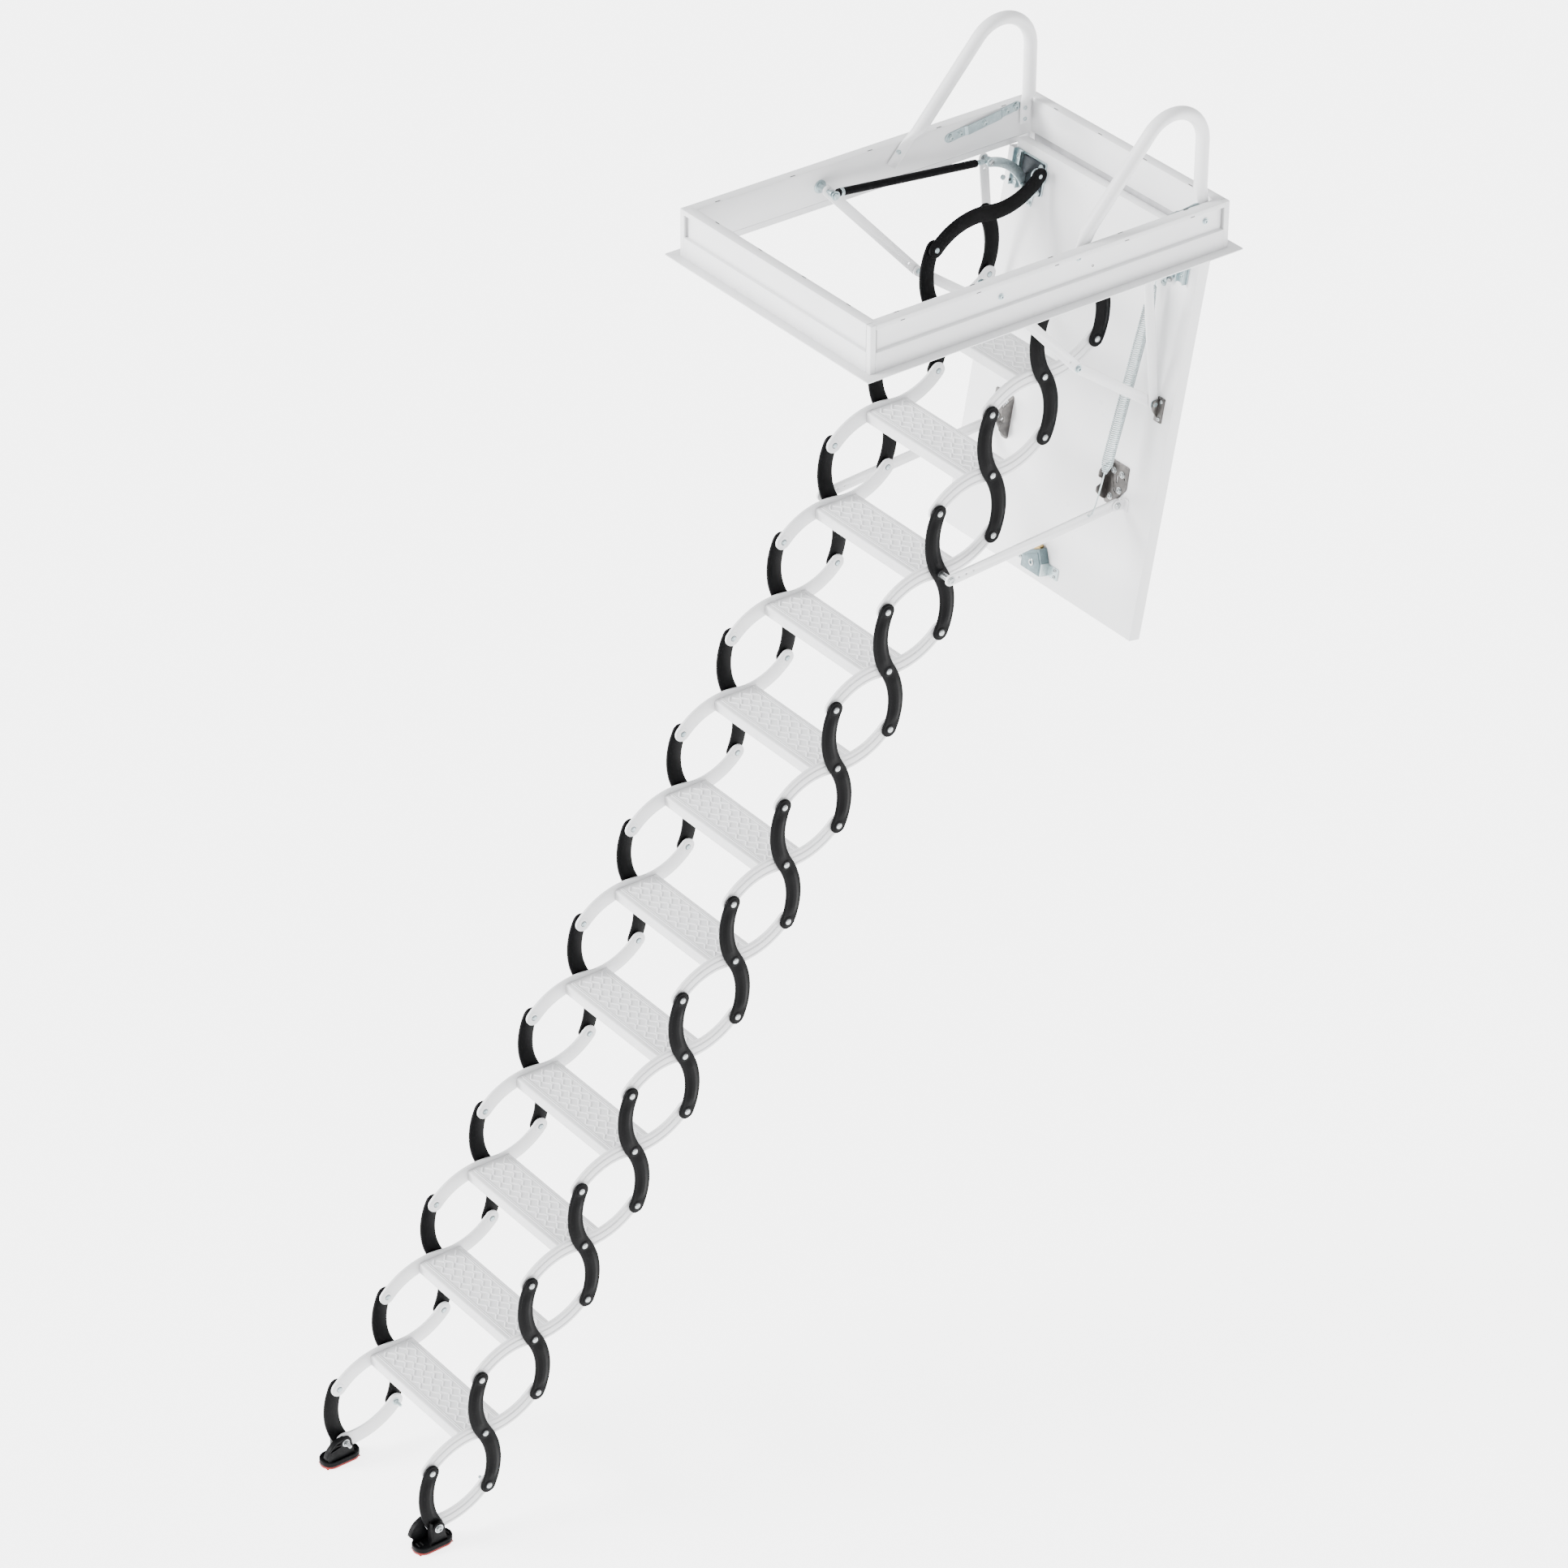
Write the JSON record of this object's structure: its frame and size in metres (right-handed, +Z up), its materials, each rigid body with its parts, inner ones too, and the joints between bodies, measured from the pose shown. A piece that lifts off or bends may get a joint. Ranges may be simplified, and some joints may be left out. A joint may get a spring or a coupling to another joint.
{
  "type": "attic ladder",
  "caption": "Concertina loft ladder: steel frame with hatch panel, folding scissor stringers with flat treads, shoes, stays, struts and handrails.",
  "frame": {"origin": "outer face of the frame's hinge-end board, at the middle of its width, 85 mm below the frame's top edge", "axes": "+Z up, +Y out of the hinge-end board and away from the opening, +X to the climber's right"},
  "size_m": [0.75, 2.2215, 3.1843],
  "materials": {
    "white_powder_coat": "satin white powder coat on steel",
    "white_laminate": "smooth white laminate on an insulated wood-fibre panel",
    "black_powder_coat": "satin black powder coat on steel",
    "white_cast_aluminium": "satin white powder coat on cast aluminium",
    "black_cast_aluminium": "satin black powder coat on cast aluminium",
    "zinc_plate": "bright zinc plate",
    "black_plastic": "matte moulded plastic with a red sole"
  },
  "bodies": {
    "frame": {"ceiling_frame": "white_powder_coat", "handrail_left": "white_powder_coat", "handrail_right": "white_powder_coat"},
    "hatch": {"hatch_panel": "white_laminate"},
    "stay_upper_arms": {"stay_upper_arm_left": "white_powder_coat", "stay_upper_arm_right": "white_powder_coat"},
    "stay_lower_arms": {"stay_lower_arm_left": "white_powder_coat", "stay_lower_arm_right": "white_powder_coat"},
    "strut_tubes": {"strut_tube_left": "black_powder_coat", "strut_tube_right": "black_powder_coat"},
    "strut_rods": {"strut_rod_left": "zinc_plate", "strut_rod_right": "zinc_plate"},
    "support_bars": {"support_bar_left": "white_powder_coat", "support_bar_right": "white_powder_coat"},
    "top_links": {"top_link_left": "black_cast_aluminium", "top_link_right": "black_cast_aluminium"},
    "top_half_links": {"top_half_link_left": "black_cast_aluminium", "top_half_link_right": "black_cast_aluminium"},
    "cross_links_12": {"cross_link_left_12": "black_cast_aluminium", "cross_link_right_12": "black_cast_aluminium"},
    "step_12": {"step_12": "white_cast_aluminium"},
    "cross_links_11": {"cross_link_left_11": "black_cast_aluminium", "cross_link_right_11": "black_cast_aluminium"},
    "step_11": {"step_11": "white_cast_aluminium"},
    "cross_links_10": {"cross_link_left_10": "black_cast_aluminium", "cross_link_right_10": "black_cast_aluminium"},
    "step_10": {"step_10": "white_cast_aluminium"},
    "cross_links_09": {"cross_link_left_09": "black_cast_aluminium", "cross_link_right_09": "black_cast_aluminium"},
    "step_09": {"step_09": "white_cast_aluminium"},
    "cross_links_08": {"cross_link_left_08": "black_cast_aluminium", "cross_link_right_08": "black_cast_aluminium"},
    "step_08": {"step_08": "white_cast_aluminium"},
    "cross_links_07": {"cross_link_left_07": "black_cast_aluminium", "cross_link_right_07": "black_cast_aluminium"},
    "step_07": {"step_07": "white_cast_aluminium"},
    "cross_links_06": {"cross_link_left_06": "black_cast_aluminium", "cross_link_right_06": "black_cast_aluminium"},
    "step_06": {"step_06": "white_cast_aluminium"},
    "cross_links_05": {"cross_link_left_05": "black_cast_aluminium", "cross_link_right_05": "black_cast_aluminium"},
    "step_05": {"step_05": "white_cast_aluminium"},
    "cross_links_04": {"cross_link_left_04": "black_cast_aluminium", "cross_link_right_04": "black_cast_aluminium"},
    "step_04": {"step_04": "white_cast_aluminium"},
    "cross_links_03": {"cross_link_left_03": "black_cast_aluminium", "cross_link_right_03": "black_cast_aluminium"},
    "step_03": {"step_03": "white_cast_aluminium"},
    "cross_links_02": {"cross_link_left_02": "black_cast_aluminium", "cross_link_right_02": "black_cast_aluminium"},
    "step_02": {"step_02": "white_cast_aluminium"},
    "cross_links_01": {"cross_link_left_01": "black_cast_aluminium", "cross_link_right_01": "black_cast_aluminium"},
    "step_01": {"step_01": "white_cast_aluminium"},
    "base_black_links": {"base_black_link_left": "black_cast_aluminium", "base_black_link_right": "black_cast_aluminium"},
    "base_white_links": {"base_white_link_left": "white_cast_aluminium", "base_white_link_right": "white_cast_aluminium"},
    "feet": {"foot_left": "black_plastic", "foot_right": "black_plastic"}
  },
  "joints": [
    {"name": "hatch_swing", "type": "hinge", "parent": "frame", "child": "hatch", "pos_m": [0, -0.042, -0.0355], "axis": [-1, 0, 0], "range_deg": [0, 41.5]},
    {"name": "stay_upper_turn", "type": "hinge", "parent": "frame", "child": "stay_upper_arms", "pos_m": [0, -0.645, 0.038], "axis": [1, 0, 0], "range_deg": [0, 44.24]},
    {"name": "stay_lower_turn", "type": "hinge", "parent": "hatch", "child": "stay_lower_arms", "pos_m": [0, -0.15405, -0.40883], "axis": [1, 0, 0], "range_deg": [-36.14, 0]},
    {"name": "strut_turn", "type": "hinge", "parent": "frame", "child": "strut_tubes", "pos_m": [0, -0.645, 0.038], "axis": [1, 0, 0], "range_deg": [0, 11.17]},
    {"name": "strut_slide", "type": "slide", "parent": "strut_tubes", "child": "strut_rods", "axis": [0, 0.9938, -0.1109], "range_m": [0, 0.0517]},
    {"name": "top_link_turn", "type": "hinge", "parent": "hatch", "child": "top_links", "pos_m": [0, -0.1084, -0.0421], "axis": [1, 0, 0], "range_deg": [-18.08, 0]},
    {"name": "ladder_fold", "type": "hinge", "parent": "top_links", "child": "top_half_links", "pos_m": [0, -0.25896, -0.09133], "axis": [1, 0, 0], "range_deg": [0, 86.14]},
    {"name": "cross_turn_12", "type": "hinge", "parent": "top_links", "child": "cross_links_12", "pos_m": [0, -0.40951, -0.14056], "axis": [1, 0, 0], "range_deg": [0, 86.14]},
    {"name": "step_turn_12", "type": "hinge", "parent": "cross_links_12", "child": "step_12", "pos_m": [0, -0.40347, -0.29884], "axis": [1, 0, 0], "range_deg": [-86.14, 0]},
    {"name": "step_turn_11", "type": "hinge", "parent": "cross_links_12", "child": "step_11", "pos_m": [0, -0.39742, -0.45713], "axis": [1, 0, 0], "range_deg": [-86.14, 0]},
    {"name": "cross_turn_11", "type": "hinge", "parent": "step_11", "child": "cross_links_11", "pos_m": [0, -0.54798, -0.50636], "axis": [1, 0, 0], "range_deg": [0, 86.14]},
    {"name": "cross_turn_10", "type": "hinge", "parent": "step_11", "child": "cross_links_10", "pos_m": [0, -0.69853, -0.55559], "axis": [1, 0, 0], "range_deg": [0, 86.14]},
    {"name": "step_turn_10", "type": "hinge", "parent": "cross_links_10", "child": "step_10", "pos_m": [0, -0.69249, -0.71387], "axis": [1, 0, 0], "range_deg": [-86.14, 0]},
    {"name": "step_turn_09", "type": "hinge", "parent": "cross_links_10", "child": "step_09", "pos_m": [0, -0.68644, -0.87216], "axis": [1, 0, 0], "range_deg": [-86.14, 0]},
    {"name": "cross_turn_09", "type": "hinge", "parent": "step_09", "child": "cross_links_09", "pos_m": [0, -0.837, -0.92139], "axis": [1, 0, 0], "range_deg": [0, 86.14]},
    {"name": "cross_turn_08", "type": "hinge", "parent": "step_09", "child": "cross_links_08", "pos_m": [0, -0.98755, -0.97062], "axis": [1, 0, 0], "range_deg": [0, 86.14]},
    {"name": "step_turn_08", "type": "hinge", "parent": "cross_links_08", "child": "step_08", "pos_m": [0, -0.98151, -1.1289], "axis": [1, 0, 0], "range_deg": [-86.14, 0]},
    {"name": "step_turn_07", "type": "hinge", "parent": "cross_links_08", "child": "step_07", "pos_m": [0, -0.97547, -1.28719], "axis": [1, 0, 0], "range_deg": [-86.14, 0]},
    {"name": "cross_turn_07", "type": "hinge", "parent": "step_07", "child": "cross_links_07", "pos_m": [0, -1.12602, -1.33641], "axis": [1, 0, 0], "range_deg": [0, 86.14]},
    {"name": "cross_turn_06", "type": "hinge", "parent": "step_07", "child": "cross_links_06", "pos_m": [0, -1.27658, -1.38564], "axis": [1, 0, 0], "range_deg": [0, 86.14]},
    {"name": "step_turn_06", "type": "hinge", "parent": "cross_links_06", "child": "step_06", "pos_m": [0, -1.27053, -1.54393], "axis": [1, 0, 0], "range_deg": [-86.14, 0]},
    {"name": "step_turn_05", "type": "hinge", "parent": "cross_links_06", "child": "step_05", "pos_m": [0, -1.26449, -1.70221], "axis": [1, 0, 0], "range_deg": [-86.14, 0]},
    {"name": "cross_turn_05", "type": "hinge", "parent": "step_05", "child": "cross_links_05", "pos_m": [0, -1.41504, -1.75144], "axis": [1, 0, 0], "range_deg": [0, 86.14]},
    {"name": "cross_turn_04", "type": "hinge", "parent": "step_05", "child": "cross_links_04", "pos_m": [0, -1.5656, -1.80067], "axis": [1, 0, 0], "range_deg": [0, 86.14]},
    {"name": "step_turn_04", "type": "hinge", "parent": "cross_links_04", "child": "step_04", "pos_m": [0, -1.55955, -1.95896], "axis": [1, 0, 0], "range_deg": [-86.14, 0]},
    {"name": "step_turn_03", "type": "hinge", "parent": "cross_links_04", "child": "step_03", "pos_m": [0, -1.55351, -2.11724], "axis": [1, 0, 0], "range_deg": [-86.14, 0]},
    {"name": "cross_turn_03", "type": "hinge", "parent": "step_03", "child": "cross_links_03", "pos_m": [0, -1.70406, -2.16647], "axis": [1, 0, 0], "range_deg": [0, 86.14]},
    {"name": "cross_turn_02", "type": "hinge", "parent": "step_03", "child": "cross_links_02", "pos_m": [0, -1.85462, -2.2157], "axis": [1, 0, 0], "range_deg": [0, 86.14]},
    {"name": "step_turn_02", "type": "hinge", "parent": "cross_links_02", "child": "step_02", "pos_m": [0, -1.84858, -2.37398], "axis": [1, 0, 0], "range_deg": [-86.14, 0]},
    {"name": "step_turn_01", "type": "hinge", "parent": "cross_links_02", "child": "step_01", "pos_m": [0, -1.84253, -2.53227], "axis": [1, 0, 0], "range_deg": [-86.14, 0]},
    {"name": "cross_turn_01", "type": "hinge", "parent": "step_01", "child": "cross_links_01", "pos_m": [0, -1.99309, -2.5815], "axis": [1, 0, 0], "range_deg": [0, 86.14]},
    {"name": "base_black_turn", "type": "hinge", "parent": "step_01", "child": "base_black_links", "pos_m": [0, -2.14364, -2.63073], "axis": [1, 0, 0], "range_deg": [0, 86.14]},
    {"name": "base_white_turn", "type": "hinge", "parent": "cross_links_01", "child": "base_white_links", "pos_m": [0, -1.98704, -2.73978], "axis": [1, 0, 0], "range_deg": [-86.14, 0]},
    {"name": "foot_turn", "type": "hinge", "parent": "base_black_links", "child": "feet", "pos_m": [0, -2.1376, -2.78901], "axis": [1, 0, 0], "range_deg": [-68.07, 0]},
    {"name": "support_bar_turn", "type": "hinge", "parent": "hatch", "child": "support_bars", "pos_m": [0, -0.20878, -0.68007], "axis": [1, 0, 0], "range_deg": [-83.79, 0]}
  ],
  "couplings": [
    {"joint": "stay_upper_turn", "follows": "hatch_swing", "ratio": 1.066},
    {"joint": "stay_lower_turn", "follows": "hatch_swing", "ratio": -0.87077},
    {"joint": "strut_turn", "follows": "hatch_swing", "ratio": 0.26915},
    {"joint": "strut_slide", "follows": "hatch_swing", "m_per_rad": 0.071261},
    {"joint": "top_link_turn", "follows": "ladder_fold", "ratio": -0.2098},
    {"joint": "cross_turn_12", "follows": "ladder_fold", "ratio": 1},
    {"joint": "step_turn_12", "follows": "ladder_fold", "ratio": -1},
    {"joint": "step_turn_11", "follows": "ladder_fold", "ratio": -1},
    {"joint": "cross_turn_11", "follows": "ladder_fold", "ratio": 1},
    {"joint": "cross_turn_10", "follows": "ladder_fold", "ratio": 1},
    {"joint": "step_turn_10", "follows": "ladder_fold", "ratio": -1},
    {"joint": "step_turn_09", "follows": "ladder_fold", "ratio": -1},
    {"joint": "cross_turn_09", "follows": "ladder_fold", "ratio": 1},
    {"joint": "cross_turn_08", "follows": "ladder_fold", "ratio": 1},
    {"joint": "step_turn_08", "follows": "ladder_fold", "ratio": -1},
    {"joint": "step_turn_07", "follows": "ladder_fold", "ratio": -1},
    {"joint": "cross_turn_07", "follows": "ladder_fold", "ratio": 1},
    {"joint": "cross_turn_06", "follows": "ladder_fold", "ratio": 1},
    {"joint": "step_turn_06", "follows": "ladder_fold", "ratio": -1},
    {"joint": "step_turn_05", "follows": "ladder_fold", "ratio": -1},
    {"joint": "cross_turn_05", "follows": "ladder_fold", "ratio": 1},
    {"joint": "cross_turn_04", "follows": "ladder_fold", "ratio": 1},
    {"joint": "step_turn_04", "follows": "ladder_fold", "ratio": -1},
    {"joint": "step_turn_03", "follows": "ladder_fold", "ratio": -1},
    {"joint": "cross_turn_03", "follows": "ladder_fold", "ratio": 1},
    {"joint": "cross_turn_02", "follows": "ladder_fold", "ratio": 1},
    {"joint": "step_turn_02", "follows": "ladder_fold", "ratio": -1},
    {"joint": "step_turn_01", "follows": "ladder_fold", "ratio": -1},
    {"joint": "cross_turn_01", "follows": "ladder_fold", "ratio": 1},
    {"joint": "base_black_turn", "follows": "ladder_fold", "ratio": 1},
    {"joint": "base_white_turn", "follows": "ladder_fold", "ratio": -1},
    {"joint": "foot_turn", "follows": "ladder_fold", "ratio": -0.7902},
    {"joint": "support_bar_turn", "follows": "ladder_fold", "ratio": -0.97264}
  ]
}
